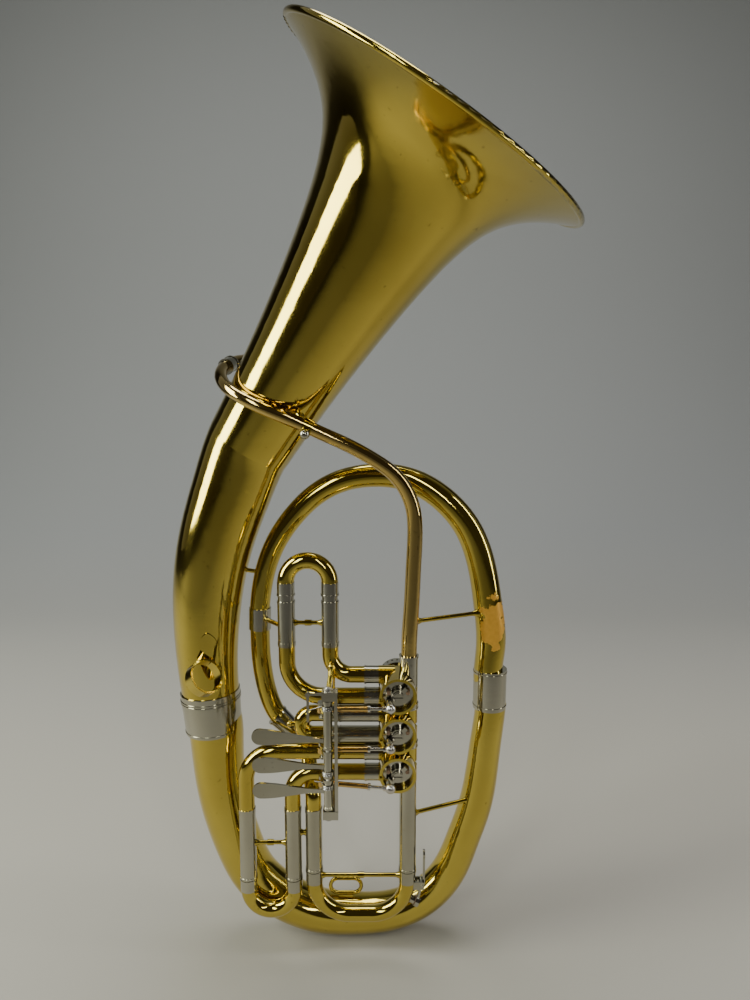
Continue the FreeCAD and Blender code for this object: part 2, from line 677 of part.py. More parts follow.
def port_ferrules(casings):
    """Nickel ferrules where tubes leave the first and third casings."""
    pieces = []
    for valve, side in ((0, 1), (0, -1), (2, 1), (2, -1)):
        level = port_z(valve, side)
        sleeve = joined([
            cylinder(V(-8.0, PORT_Y, level), V(CASING_LEFT, PORT_Y, level), FERRULE_R),
            cylinder(V(-8.0, PORT_Y, level), V(-6.6, PORT_Y, level), FERRULE_R + 0.35),
        ])
        bore = cylinder(V(-9, PORT_Y, level), V(CASING_LEFT + 1, PORT_Y, level), TUBE_R)
        pieces.append(sleeve.cut(bore).cut(casings))
    return pieces


def leadpipe_ferrule(casings, pipe_outer):
    top = V(MAIN_RIGHT_X, PORT_Y, -113.0)
    end = V(MAIN_RIGHT_X, PORT_Y, VALVE_Z[0])
    body = joined([cylinder(top, end, 6.9), cylinder(top, top - V(0, 0, 1.6), 7.4)])
    bore = cylinder(top - V(0, 0, 5), end, 5.4)
    return body.cut(bore).cut(pipe_outer).cut(casings)


def loop_ferrule(pipe_outer):
    """Ringed ferrule where the leadpipe turns behind the bell."""
    front = V(-109.6, -5.0, 99.6)
    back = V(-107.6, 5.5, 102.4)
    along = unit(back - front)
    body = joined([
        cylinder(front, back, 5.6),
        cylinder(front, front + along, 6.1),
        cylinder(back - along, back, 6.1),
    ])
    return body.cut(pipe_outer)


def solid_casings():
    solids = []
    for k in range(3):
        solids.append(cylinder(valve_centre(k, CASING_FRONT), valve_centre(k, CASING_BACK), CASING_R))
        solids.extend(port_bosses(k))
    return solids


def knuckles(casings):
    """Sleeves that join the port bosses of neighbouring valves, each with two raised rings."""
    pieces = []
    for k in range(2):
        upper = V(MAIN_RIGHT_X, PORT_Y, VALVE_Z[k] - BOSS_REACH + 1.1)
        lower = V(MAIN_RIGHT_X, PORT_Y, VALVE_Z[k + 1] + BOSS_REACH - 1.1)
        body = joined([
            cylinder(upper, lower, BOSS_R + 0.5),
            cylinder(upper, upper - V(0, 0, 0.8), BOSS_R + 0.75),
            cylinder(lower + V(0, 0, 0.8), lower, BOSS_R + 0.75),
        ])
        pieces.append(body.cut(cylinder(upper, lower, TUBE_IN)).cut(casings))
    return pieces


# ---- slides --------------------------------------------------------------------------------------
def sleeve(start, end):
    """An outer slide tube; its fixed end, at start, widens over the tube it is soldered to."""
    along = unit(end - start)
    lip = start - along * SOCKET
    body = joined([
        cylinder(start, end, SLEEVE_R),
        cylinder(lip, start, SLEEVE_R + 0.25),
        cylinder(end - along * 1.4, end, SLEEVE_R + 0.3),
    ])
    return body.cut(cylinder(start, end, SLEEVE_IN)).cut(cylinder(lip, start, TUBE_R + 0.02))


def slide_legs(legs, inner_end, mouth_z, outer_z):
    """Inner slide tubes and the ferrules that hold the bow, for legs along Z."""
    pieces = []
    for x in legs:
        mouth = V(x, PORT_Y, mouth_z)
        outer_face = V(x, PORT_Y, outer_z)
        away = unit(outer_face - mouth)
        body = joined([
            cylinder(V(x, PORT_Y, inner_end), mouth, SLIDE_R),
            cylinder(mouth, outer_face, SLEEVE_R),
            cylinder(mouth, mouth + away * 1.2, SLEEVE_R + 0.4),
        ])
        body = body.cut(cylinder(V(x, PORT_Y, inner_end), mouth + away * 2, SLIDE_IN))
        pieces.append(body.cut(cylinder(mouth + away * 2, outer_face + away, TUBE_R + 0.02)))
    return pieces


def main_bow_points():
    return [V(MAIN_LEFT_X, PORT_Y, MAIN_BOW_LEG_Z), V(MAIN_LEFT_X, PORT_Y, MAIN_BOW_Z),
            V(MAIN_RIGHT_X, PORT_Y, MAIN_BOW_Z), V(MAIN_RIGHT_X, PORT_Y, MAIN_BOW_LEG_Z)]


def half_bow(left_x, right_x, leg_z, end_z, direction):
    """A bow that is one half turn, from two legs end_z long."""
    radius = (right_x - left_x) / 2
    middle_x = (right_x + left_x) / 2
    arc = Part.Arc(V(left_x, PORT_Y, end_z), V(middle_x, PORT_Y, end_z + direction * radius),
                   V(right_x, PORT_Y, end_z)).toShape()
    path = Part.Wire([
        Part.makeLine(V(left_x, PORT_Y, leg_z), V(left_x, PORT_Y, end_z)),
        arc,
        Part.makeLine(V(right_x, PORT_Y, end_z), V(right_x, PORT_Y, leg_z)),
    ])
    start = V(left_x, PORT_Y, leg_z)
    solids = []
    for r in (TUBE_R, TUBE_IN):
        profile = Part.Wire([Part.makeCircle(r, start, V(0, 0, 1))])
        solids.append(path.makePipeShell([profile], True, False))
    return solids[0].cut(solids[1])


MAIN_FERRULE = (-288.1, -298.5)        # its mouth, next to the sleeve, and its far end
MAIN_BOW_LEG_Z = -290.1                # where the bow's legs start inside the ferrules
MAIN_BOW_Z = -326.5
MAIN_BOW_BEND = 28.0
THIRD_FERRULE = (-295.1, -305.0)
FIRST_FERRULE = (-66.9, -57.0)
SECOND_GAP = 0.6
SECOND_BOW_X = -47.0


def second_slide(part):
    """The short slide of the second valve: it lies level and pulls to the left."""
    levels = (port_z(1, 1), port_z(1, -1))
    left, right = SECOND_SLEEVE
    if part == "sleeves":
        return [
            joined([
                cylinder(V(left, PORT_Y, z), V(CASING_LEFT, PORT_Y, z), SLEEVE_R),
                cylinder(V(left, PORT_Y, z), V(left + 1.4, PORT_Y, z), SLEEVE_R + 0.25),
            ]).cut(cylinder(V(left, PORT_Y, z), V(CASING_LEFT, PORT_Y, z), SLEEVE_IN))
            for z in levels
        ]
    mouth = left - SECOND_GAP
    if part == "tubes":
        pieces = []
        for z in levels:
            body = joined([
                cylinder(V(-5.0, PORT_Y, z), V(mouth, PORT_Y, z), SLIDE_R),
                cylinder(V(mouth, PORT_Y, z), V(mouth - 9, PORT_Y, z), SLEEVE_R),
                cylinder(V(mouth, PORT_Y, z), V(mouth - 1.2, PORT_Y, z), SLEEVE_R + 0.25),
            ])
            body = body.cut(cylinder(V(-5.0, PORT_Y, z), V(mouth - 2, PORT_Y, z), SLIDE_IN))
            seat = cylinder(V(mouth - 2, PORT_Y, z), V(mouth - 10, PORT_Y, z), TUBE_R + 0.02)
            pieces.append(body.cut(seat))
        return pieces
    radius = (levels[0] - levels[1]) / 2
    middle = (levels[0] + levels[1]) / 2
    start_x = mouth - 2
    path = Part.Wire([
        Part.makeLine(V(start_x, PORT_Y, levels[0]), V(SECOND_BOW_X, PORT_Y, levels[0])),
        Part.Arc(V(SECOND_BOW_X, PORT_Y, levels[0]), V(SECOND_BOW_X - radius, PORT_Y, middle),
                 V(SECOND_BOW_X, PORT_Y, levels[1])).toShape(),
        Part.makeLine(V(SECOND_BOW_X, PORT_Y, levels[1]), V(start_x, PORT_Y, levels[1])),
    ])
    solids = []
    for r in (TUBE_R, TUBE_IN):
        profile = Part.Wire([Part.makeCircle(r, V(start_x, PORT_Y, levels[0]), V(1, 0, 0))])
        solids.append(path.makePipeShell([profile], True, False))
    crown = SECOND_BOW_X - radius
    knob = joined([
        cylinder(V(crown - 6, PORT_Y, middle), V(crown - 8.4, PORT_Y, middle), 1.8),
        sphere(V(crown - 9.2, PORT_Y, middle), 2.4),
    ])
    return [solids[0].cut(solids[1]).fuse(knob.cut(solids[0])).removeSplitter()]


def collared_bridge(left_x, right_x, z, cutters):
    """A stay between two parallel tubes, with a small collar at its middle."""
    middle = (left_x + right_x) / 2
    body = joined([
        stay(V(left_x + 5, PORT_Y, z), V(right_x - 5, PORT_Y, z), 1.6, 3.2, 4.0),
        cylinder(V(middle - 2.5, PORT_Y, z), V(middle + 2.5, PORT_Y, z), 2.3),
    ])
    return body.cut(cutters)


def leg_cutter(x, low, high, radius):
    return cylinder(V(x, PORT_Y, low), V(x, PORT_Y, high), radius)


# ---- water key ------------------------------------------------------------------------------------
KEY_PIVOT = V(36.6, PORT_Y, -300.0)
KEY_TILT = math.radians(26)
KEY_OUT = V(math.cos(KEY_TILT), 0, -math.sin(KEY_TILT))
KEY_SPOT = V(MAIN_RIGHT_X - MAIN_BOW_BEND, PORT_Y, -298.5) + KEY_OUT * MAIN_BOW_BEND
NIPPLE_END = 9.2


def water_key_saddle(bow_outer):
    """Nipple on the bow and the two ears that carry the key's pivot."""
    nipple = cylinder(KEY_SPOT, KEY_SPOT + KEY_OUT * NIPPLE_END, 3.0)
    ears = []
    for side in (-1, 1):
        y = PORT_Y + side * 3.4
        ears.append(box(V(30.0, y - 0.6, -303.6), V(38.4, y + 0.6, -297.2)))
    bridge = box(V(30.0, PORT_Y - 4.0, -303.6), V(33.0, PORT_Y + 4.0, -299.0))
    pin = cylinder(KEY_PIVOT - V(0, 4.6, 0), KEY_PIVOT + V(0, 4.6, 0), 0.9)
    body = joined(ears + [bridge, pin])
    hole = cylinder(KEY_SPOT + KEY_OUT * 4, KEY_SPOT + KEY_OUT * 12, 1.3)
    return [body.cut(bow_outer), nipple.cut(bow_outer).cut(hole)]


def water_key_lever():
    cup_back = KEY_SPOT + KEY_OUT * (NIPPLE_END + 1.6)
    cup = cylinder(cup_back, cup_back + KEY_OUT * 2.0, 4.2)
    cup_rim = hollow(cup_back - KEY_OUT * 1.2, cup_back, 4.2, 3.5)
    hinge = cylinder(KEY_PIVOT - V(0, 2.6, 0), KEY_PIVOT + V(0, 2.6, 0), 2.2)
    reach = cup_back + KEY_OUT * 1.0
    along = unit(KEY_PIVOT - reach)
    arm_size = V((KEY_PIVOT - reach).Length, 4.2, 1.6)
    arm = local_box((KEY_PIVOT + reach) * 0.5, along, V(0, 1, 0), arm_size)
    touch = box(V(37.4, PORT_Y - 2.1, -300.0), V(39.0, PORT_Y + 2.1, -276.0))
    tip = cylinder(V(37.4, PORT_Y, -275.0), V(39.0, PORT_Y, -275.0), 3.2)
    body = joined([cup, cup_rim, hinge, arm, touch, tip]).cut(water_key_cork())
    return body.cut(cylinder(KEY_PIVOT - V(0, 4, 0), KEY_PIVOT + V(0, 4, 0), 0.96))


def water_key_cork():
    face = KEY_SPOT + KEY_OUT * (NIPPLE_END + 0.05)
    return cylinder(face, KEY_SPOT + KEY_OUT * (NIPPLE_END + 1.6), 3.45)


# ---- rings and stays ---------------------------------------------------------------------------
THUMB_RING_AT = V(-126.6, -34.6, -128.0)
THUMB_RING_AXIS = unit(V(0.64, -0.50, 0.56))
THUMB_PAD_AT = V(-125.4, 0, -107.0)
STRAP_RING_AT = V(-24.0, -1.0, -321.5)


def thumb_ring(stem_outer):
    """A band ring on the front of the body tube, under a leaf-shaped pad."""
    ring = ring_band(THUMB_RING_AT, THUMB_RING_AXIS, 13.2, 11.7, 8.5).cut(stem_outer)
    raised = tapered(STEM_STATIONS, STEM_START, BELL_AXIS, -1.1)
    leaf = None
    for side in (-1, 1):
        at = THUMB_PAD_AT + V(4.5 * side, 0, 0)
        disc = cylinder(at + V(0, -60, 0), at, 11.0)
        leaf = disc if leaf is None else leaf.common(disc)
    return Part.makeCompound([ring, leaf.common(raised).cut(stem_outer)])


def strap_ring(neighbours):
    """An oval wire ring standing on the bottom bow."""
    half, r = 6.2, 6.4
    cx, y, cz = STRAP_RING_AT.x, STRAP_RING_AT.y, STRAP_RING_AT.z
    path = Part.Wire([
        Part.makeLine(V(cx - half, y, cz + r), V(cx + half, y, cz + r)),
        Part.Arc(V(cx + half, y, cz + r), V(cx + half + r, y, cz), V(cx + half, y, cz - r)).toShape(),
        Part.makeLine(V(cx + half, y, cz - r), V(cx - half, y, cz - r)),
        Part.Arc(V(cx - half, y, cz - r), V(cx - half - r, y, cz), V(cx - half, y, cz + r)).toShape(),
    ])
    profile = Part.Wire([Part.makeCircle(1.6, V(cx - half, y, cz + r), V(1, 0, 0))])
    ring = path.makePipeShell([profile], True, False)
    foot = box(V(cx - 6, y - 2.4, cz - r - 5), V(cx + 6, y + 2.4, cz - r - 0.6))
    return ring.fuse(foot).removeSplitter().cut(neighbours)


def body_stays(large, leadpipe_outer):
    """Stays between the large tubes, the leadpipe and the slides."""
    third = leg_cutter(THIRD_LEFT_X, -296, -230, SLEEVE_R)
    first = leg_cutter(FIRST_LEFT_X, -107, -70, SLEEVE_R)
    main_left = leg_cutter(MAIN_LEFT_X, -290, -230, SLEEVE_R)
    main_right = leg_cutter(MAIN_RIGHT_X, -290, -200, SLEEVE_R)
    band = cylinder(V(-89.5, 0, -84.5), V(-90, 0, -101.5), 8.6)
    third_right = leg_cutter(THIRD_RIGHT_X, -296, -230, SLEEVE_R)
    plan = [
        (V(30.5, PORT_Y + 2, -87.5), V(79.5, -5, -87.5), [leadpipe_outer]),
        (V(29.5, PORT_Y + 2, -242.0), V(75.0, -6, -242.0), [main_right]),
        (V(-86.0, -4, -92.0), V(-69.0, PORT_Y + 3, -92.0), [first, band]),
        (V(-102.5, 0, -54.0), V(-82.0, 0, -57.5), []),
        (V(-110.0, -9, -268.0), V(-101.0, PORT_Y + 2, -264.0), [third]),
        (V(THIRD_RIGHT_X + 4, PORT_Y, -257.0), V(MAIN_LEFT_X - 4, PORT_Y, -257.0),
         [third_right, main_left]),
    ]
    return [stay(start, end).cut(large + others) for start, end, others in plan]


# ---- build ------------------------------------------------------------------------------------------
def build():
    nodes = {}
    bottom_outer = tapered(BOTTOM_STATIONS, DOWN, STEM_START)
    top_outer = tapered(TOP_STATIONS, UP, DOWN)
    branch_outer = tapered(BRANCH_STATIONS, DOWN, BRANCH_END)
    stem_outer, flare_outer = bell_outer()
    pipe_outer = leadpipe_solid(0)
    large = [bottom_outer, top_outer, branch_outer, stem_outer]

    nodes["bell"], nodes["bell_rim_wire"] = make_bell(stem_outer, flare_outer)
    nodes["bottom_bow"] = bottom_outer.cut(tapered(BOTTOM_STATIONS, DOWN, STEM_START, SHEET))
    nodes["top_bow"] = top_outer.cut(tapered(TOP_STATIONS, UP, DOWN, SHEET))
    nodes["inner_branch"] = branch_outer.cut(tapered(BRANCH_STATIONS, DOWN, BRANCH_END, SHEET))
    nodes["body_ferrule"] = body_ferrule([bottom_outer, stem_outer])
    nodes["bow_ferrule"] = bow_ferrule([bottom_outer, top_outer])

    back_tube, back_outer = return_tube()
    band, socket = branch_ferrules([top_outer, branch_outer])
    nodes["branch_ferrules"] = Part.makeCompound([band, socket.cut([branch_outer, back_outer])])
    nodes["return_tube"] = back_tube.cut(branch_outer)

    nodes["leadpipe"] = pipe_outer.cut(leadpipe_solid(LEADPIPE_WALL))
    nodes["mouthpiece_receiver"] = mouthpiece_receiver(pipe_outer)
    nodes["leadpipe_clamp"] = leadpipe_clamp([stem_outer, flare_outer, pipe_outer])
    nodes["clamp_screw"] = clamp_screw()

    casings = solid_casings()
    for k in range(3):
        nodes["valve_casing_%d" % (k + 1)] = valve_casing(k)
        nodes["rotor_%d" % (k + 1)] = rotor(k)
        nodes["stop_arm_%d" % (k + 1)] = stop_arm(k)
        nodes["linkage_rod_%d" % (k + 1)] = linkage_rod(k)
        nodes["lever_%d" % (k + 1)] = lever(k)
    nodes["bearing_plates"] = Part.makeCompound(
        [bearing_plate(k) for k in range(3)] + [back_plate(k) for k in range(3)])
    nodes["valve_caps"] = Part.makeCompound([valve_cap(k) for k in range(3)])
    nodes["cork_bumpers"] = Part.makeCompound([cork for k in range(3) for cork in cork_bumpers(k)])
    nodes["valve_knuckles"] = Part.makeCompound(knuckles(casings))
    nodes["port_ferrules"] = Part.makeCompound(port_ferrules(casings))
    nodes["leadpipe_ferrules"] = Part.makeCompound(
        [leadpipe_ferrule(casings, pipe_outer), loop_ferrule(pipe_outer)])
    for name in PORT_TUBES:
        nodes[name] = Part.makeCompound(valve_tubes(name, casings))

    first_tubes = [rod(port_tube_points(v, s, x, z), [b], TUBE_R)
                   for v, s, x, z, b in PORT_TUBES["first_valve_tubes"]]
    third_tubes = [rod(port_tube_points(v, s, x, z), [b], TUBE_R)
                   for v, s, x, z, b in PORT_TUBES["third_valve_tubes"]]
    nodes["frame_post"] = frame_post(first_tubes)
    nodes["lever_frame"] = lever_frame(third_tubes + [frame_post(first_tubes)])
    nodes["lever_axle"] = lever_axle()
    nodes["lever_springs"] = Part.makeCompound([s for k in range(3) for s in lever_spring(k)])

    nodes["first_slide_sleeves"] = Part.makeCompound([
        sleeve(V(x, PORT_Y, FIRST_SLEEVE[0] + SOCKET), V(x, PORT_Y, FIRST_SLEEVE[1]))
        for x in (FIRST_LEFT_X, FIRST_RIGHT_X)])
    nodes["first_slide_tubes"] = Part.makeCompound(
        slide_legs((FIRST_LEFT_X, FIRST_RIGHT_X), -101.0, *FIRST_FERRULE))
    nodes["first_slide_bow"] = half_bow(FIRST_LEFT_X, FIRST_RIGHT_X, -64.9, -57.0, 1)

    nodes["third_slide_sleeves"] = Part.makeCompound([
        sleeve(V(x, PORT_Y, THIRD_SLEEVE[1] - SOCKET), V(x, PORT_Y, THIRD_SLEEVE[0]))
        for x in (THIRD_LEFT_X, THIRD_RIGHT_X)])
    nodes["third_slide_tubes"] = Part.makeCompound(
        slide_legs((THIRD_LEFT_X, THIRD_RIGHT_X), -241.0, *THIRD_FERRULE))
    nodes["third_slide_bow"] = half_bow(THIRD_LEFT_X, THIRD_RIGHT_X, -297.1, -305.0, -1)

    left_top = V(MAIN_LEFT_X, PORT_Y, MAIN_SLEEVE[1] - SOCKET)
    left = sleeve(left_top, V(MAIN_LEFT_X, PORT_Y, MAIN_SLEEVE[0]))
    right_top = V(MAIN_RIGHT_X, PORT_Y, VALVE_Z[2] - BOSS_REACH)
    right_end = V(MAIN_RIGHT_X, PORT_Y, MAIN_SLEEVE[0])
    right = joined([cylinder(right_top, right_end, SLEEVE_R),
                    cylinder(right_end + V(0, 0, 1.4), right_end, SLEEVE_R + 0.3)])
    right = right.cut(cylinder(right_top, right_end, SLEEVE_IN))
    nodes["main_slide_sleeves"] = Part.makeCompound([left, right])
    nodes["main_slide_tubes"] = Part.makeCompound(
        slide_legs((MAIN_LEFT_X, MAIN_RIGHT_X), -241.0, *MAIN_FERRULE))
    nodes["main_slide_bow"] = tube(main_bow_points(), [MAIN_BOW_BEND, MAIN_BOW_BEND])

    for part in ("sleeves", "tubes", "bow"):
        nodes["second_slide_" + part] = Part.makeCompound(
            [p.cut(casings) if part == "sleeves" else p for p in second_slide(part)])

    bow_outer = rod(main_bow_points(), [MAIN_BOW_BEND, MAIN_BOW_BEND], TUBE_R)
    nodes["water_key_saddle"] = Part.makeCompound(
        water_key_saddle([bow_outer, leg_cutter(MAIN_RIGHT_X, *MAIN_FERRULE, SLEEVE_R)]))
    nodes["water_key_lever"] = water_key_lever()
    nodes["water_key_cork"] = water_key_cork()

    nodes["main_slide_bridge"] = collared_bridge(
        MAIN_LEFT_X, MAIN_RIGHT_X, -293.2,
        [leg_cutter(x, *MAIN_FERRULE, SLEEVE_R) for x in (MAIN_LEFT_X, MAIN_RIGHT_X)])
    nodes["slide_bridges"] = Part.makeCompound([
        collared_bridge(FIRST_LEFT_X, FIRST_RIGHT_X, -88.0,
                        [leg_cutter(x, *FIRST_SLEEVE, SLEEVE_R) for x in (FIRST_LEFT_X, FIRST_RIGHT_X)]),
        collared_bridge(THIRD_LEFT_X, THIRD_RIGHT_X, -265.4,
                        [leg_cutter(x, *THIRD_SLEEVE, SLEEVE_R) for x in (THIRD_LEFT_X, THIRD_RIGHT_X)]),
    ])
    nodes["body_stays"] = Part.makeCompound(body_stays(large, pipe_outer))
    nodes["thumb_ring"] = thumb_ring(stem_outer)
    nodes["strap_ring"] = strap_ring([bottom_outer])
    return nodes


def export(nodes):
    os.makedirs("parts", exist_ok=True)
    low = V(1e9, 1e9, 1e9)
    high = V(-1e9, -1e9, -1e9)
    for name, shape in nodes.items():
        placed = shape.translated(ORIGIN * -1)
        placed.exportStep("parts/%s.step" % name)
        bound = placed.optimalBoundingBox(False)
        low = V(min(low.x, bound.XMin), min(low.y, bound.YMin), min(low.z, bound.ZMin))
        high = V(max(high.x, bound.XMax), max(high.y, bound.YMax), max(high.z, bound.ZMax))
        row = (name, len(placed.Solids), placed.isValid(), placed.Volume)
        print("%-22s solids %d valid %s volume %.1f" % row)
    print("box", low, high)


export(build())
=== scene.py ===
"""Looks for the tenor horn: procedural metals, a pale floor and soft studio light."""
import json
import math

import bpy
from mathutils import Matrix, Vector

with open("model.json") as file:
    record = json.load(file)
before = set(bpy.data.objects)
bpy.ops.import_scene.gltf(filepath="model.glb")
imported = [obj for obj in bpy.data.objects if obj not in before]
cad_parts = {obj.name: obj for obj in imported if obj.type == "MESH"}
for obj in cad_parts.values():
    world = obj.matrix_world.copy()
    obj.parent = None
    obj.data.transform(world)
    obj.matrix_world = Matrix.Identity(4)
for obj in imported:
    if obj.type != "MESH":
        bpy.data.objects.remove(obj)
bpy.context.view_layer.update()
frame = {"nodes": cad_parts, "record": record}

CAMERA_AT = Vector((0.0103, -0.5030, 0.4445))
CAMERA_TARGET = Vector((0.0103, 0.0410, 0.3632))
WEAR_CENTRE = (0.1015, 0.0298, 0.2705)
WEAR_SIZE = (0.012, 0.013, 0.021)
WEAR_LIGHT = (0.92, 0.50, 0.06)
WEAR_DARK = (0.70, 0.34, 0.03)
ROD_SPLIT_X = 0.0052            # end of the gold tube on each linkage rod
ROD_BRASS = (0.80, 0.52, 0.16)
ROD_NICKEL = (0.74, 0.73, 0.70)
ROD_TARNISH = (0.42, 0.32, 0.18)
CORK_DARK = (0.11, 0.07, 0.045)
CORK_LIGHT = (0.34, 0.21, 0.12)

# light colour, dark colour, roughness range, scratch strength, coat weight
METALS = {
    "lacquered_brass": ((0.64, 0.50, 0.09), (0.50, 0.37, 0.05), (0.06, 0.13), 0.03, 0.25),
    "gold_brass": ((0.62, 0.46, 0.15), (0.50, 0.35, 0.10), (0.06, 0.14), 0.03, 0.25),
    "nickel_silver": ((0.52, 0.50, 0.41), (0.38, 0.36, 0.27), (0.10, 0.22), 0.06, 0.0),
    "steel": ((0.55, 0.54, 0.52), (0.36, 0.35, 0.33), (0.2, 0.34), 0.1, 0.0),
}

PAPER_WALL = (0.32, 0.325, 0.32)
PAPER_FLOOR = (0.38, 0.36, 0.31)
# painted shade: the dark colour the paper fades to far from the centre given on the next
# line
PAPER_PAINTED_SHADE = (0.09, 0.085, 0.08)
PAPER_SHADE_CENTRE = (0.0, 1.2, 0.0)
SWEEP_FRONT_Y = -2.2
SWEEP_BEND_Y = 0.9              # where the level part starts to curve up
SWEEP_R = 0.9
SWEEP_TOP_Z = 3.6
SWEEP_HALF_WIDTH = 4.0
SWEEP_STEPS = 12
SWEEP_DROP = 0.0005             # keeps the paper just clear of the horn

ROOM_LOW = (0.16, 0.155, 0.15)
ROOM_HIGH = (0.22, 0.23, 0.245)
ROOM_FRONT = (0.035, 0.03, 0.025)
LIGHT_TARGET = (0, 0, 0.35)

# sockets of a Mix node that mixes colours
MIX_FIRST, MIX_SECOND, MIX_RESULT = 6, 7, 2


class Nodes:
    """A short way to add and link shader nodes."""

    def __init__(self, tree):
        self.tree = tree
        tree.nodes.clear()

    def add(self, kind, **settings):
        node = self.tree.nodes.new("ShaderNode" + kind)
        for name, value in settings.items():
            setattr(node, name, value)
        return node

    def link(self, source, target):
        self.tree.links.new(source, target)

    def noise(self, coords, scale, detail=3.0, stretch=(1, 1, 1)):
        mapping = self.add("Mapping")
        mapping.inputs["Scale"].default_value = stretch
        self.link(coords, mapping.inputs["Vector"])
        noise = self.add("TexNoise")
        noise.inputs["Scale"].default_value = scale
        noise.inputs["Detail"].default_value = detail
        self.link(mapping.outputs["Vector"], noise.inputs["Vector"])
        return noise.outputs["Fac"]

    def map_range(self, value, low, high, to_low, to_high):
        node = self.add("MapRange")
        limits = {"From Min": low, "From Max": high, "To Min": to_low, "To Max": to_high}
        for name, number in limits.items():
            node.inputs[name].default_value = number
        self.link(value, node.inputs["Value"])
        return node.outputs["Result"]

    def mix(self, factor, first, second):
        node = self.add("Mix", data_type="RGBA")
        self.link(factor, node.inputs["Factor"])
        for index, colour in ((MIX_FIRST, first), (MIX_SECOND, second)):
            socket = node.inputs[index]
            if isinstance(colour, tuple):
                socket.default_value = (*colour, 1)
            else:
                self.link(colour, socket)
        return node.outputs[MIX_RESULT]

    def math(self, operation, first, second):
        node = self.add("Math", operation=operation)
        for socket, value in zip(node.inputs, (first, second)):
            if isinstance(value, float):
                socket.default_value = value
            else:
                self.link(value, socket)
        return node.outputs[0]


def new_material(name):
    material = bpy.data.materials.new(name)
    material.use_nodes = True
    nodes = Nodes(material.node_tree)
    shader = nodes.add("BsdfPrincipled")
    output = nodes.add("OutputMaterial")
    nodes.link(shader.outputs["BSDF"], output.inputs["Surface"])
    coords = nodes.add("TexCoord").outputs["Object"]
    return material, nodes, shader, coords


def scratches(nodes, coords, shader, strength):
    """Fine marks in two directions, as a shallow bump."""
    first = nodes.noise(coords, 260, 2, (1, 0.3, 0.05))
    second = nodes.noise(coords, 340, 2, (0.06, 0.5, 1))
    both = nodes.math("ADD", first, second)
    bump = nodes.add("Bump")
    bump.inputs["Strength"].default_value = strength
    bump.inputs["Distance"].default_value = 0.0004
    nodes.link(both, bump.inputs["Height"])
    nodes.link(bump.outputs["Normal"], shader.inputs["Normal"])


def metal(name):
    """Polished metal with slow colour drift, handling haze and fine scratches."""
    light, dark, rough, bump, coat = METALS[name]
    material, nodes, shader, coords = new_material(name)
    drift = nodes.map_range(nodes.noise(coords, 9, 4), 0.35, 0.68, 0, 1)
    colour = nodes.mix(drift, light, dark)
    specks = nodes.map_range(nodes.noise(coords, 210, 2), 0.70, 0.78, 0, 0.6)
    colour = nodes.mix(specks, colour, tuple(c * 0.5 for c in dark))
    haze = nodes.map_range(nodes.noise(coords, 26, 6), 0.38, 0.72, *rough)
    nodes.link(colour, shader.inputs["Base Color"])
    nodes.link(haze, shader.inputs["Roughness"])
    shader.inputs["Metallic"].default_value = 1
    shader.inputs["Coat Weight"].default_value = coat
    shader.inputs["Coat Roughness"].default_value = 0.06
    scratches(nodes, coords, shader, bump)
    return material, nodes, shader, coords, colour, haze


def add_wear(nodes, shader, coords, colour, haze):
    """Lacquer rubbed through on the outside of the top bow: an orange, dull patch."""
    shift = nodes.add("VectorMath", operation="SUBTRACT")
    shift.inputs[1].default_value = WEAR_CENTRE
    nodes.link(coords, shift.inputs[0])
    scale = nodes.add("VectorMath", operation="DIVIDE")
    scale.inputs[1].default_value = WEAR_SIZE
    nodes.link(shift.outputs["Vector"], scale.inputs[0])
    length = nodes.add("VectorMath", operation="LENGTH")
    nodes.link(scale.outputs["Vector"], length.inputs[0])
    ragged = nodes.map_range(nodes.noise(coords, 120, 5), 0.3, 0.7, -0.45, 0.45)
    edge = nodes.math("ADD", length.outputs["Value"], ragged)
    mask = nodes.map_range(edge, 0.86, 0.94, 1, 0)
    bare = nodes.mix(nodes.noise(coords, 300, 4), WEAR_LIGHT, WEAR_DARK)
    nodes.link(nodes.mix(mask, colour, bare), shader.inputs["Base Color"])
    nodes.link(nodes.map_range(mask, 0, 1, 1, 0.45), shader.inputs["Metallic"])
    dull = nodes.math("MULTIPLY", mask, 0.38)
    nodes.link(nodes.math("ADD", haze, dull), shader.inputs["Roughness"])


def lacquered_brass():
    material, nodes, shader, coords, colour, haze = metal("lacquered_brass")
    add_wear(nodes, shader, coords, colour, haze)
    return material


def two_metal_rod():
    """The linkage rods: gold tube at the lever end, bright rod at the ball end."""
    material, nodes, shader, coords = new_material("linkage_rod")
    axis = nodes.add("SeparateXYZ")
    nodes.link(coords, axis.inputs[0])
    split = nodes.map_range(axis.outputs["X"], ROD_SPLIT_X - 0.0001, ROD_SPLIT_X, 0, 1)
    colour = nodes.mix(split, ROD_BRASS, ROD_NICKEL)
    drift = nodes.map_range(nodes.noise(coords, 60, 3), 0.3, 0.7, 0, 0.35)
    nodes.link(nodes.mix(drift, colour, ROD_TARNISH), shader.inputs["Base Color"])
    haze = nodes.map_range(nodes.noise(coords, 90, 3), 0.3, 0.7, 0.1, 0.25)
    nodes.link(haze, shader.inputs["Roughness"])
    shader.inputs["Metallic"].default_value = 1
    scratches(nodes, coords, shader, 0.04)
    return material


def cork():
    material, nodes, shader, coords = new_material("cork")
    grain = nodes.map_range(nodes.noise(coords, 900, 5), 0.35, 0.65, 0, 1)
    nodes.link(nodes.mix(grain, CORK_DARK, CORK_LIGHT), shader.inputs["Base Color"])
    nodes.link(nodes.map_range(grain, 0, 1, 0.75, 0.95), shader.inputs["Roughness"])
    scratches(nodes, coords, shader, 0.3)
    return material


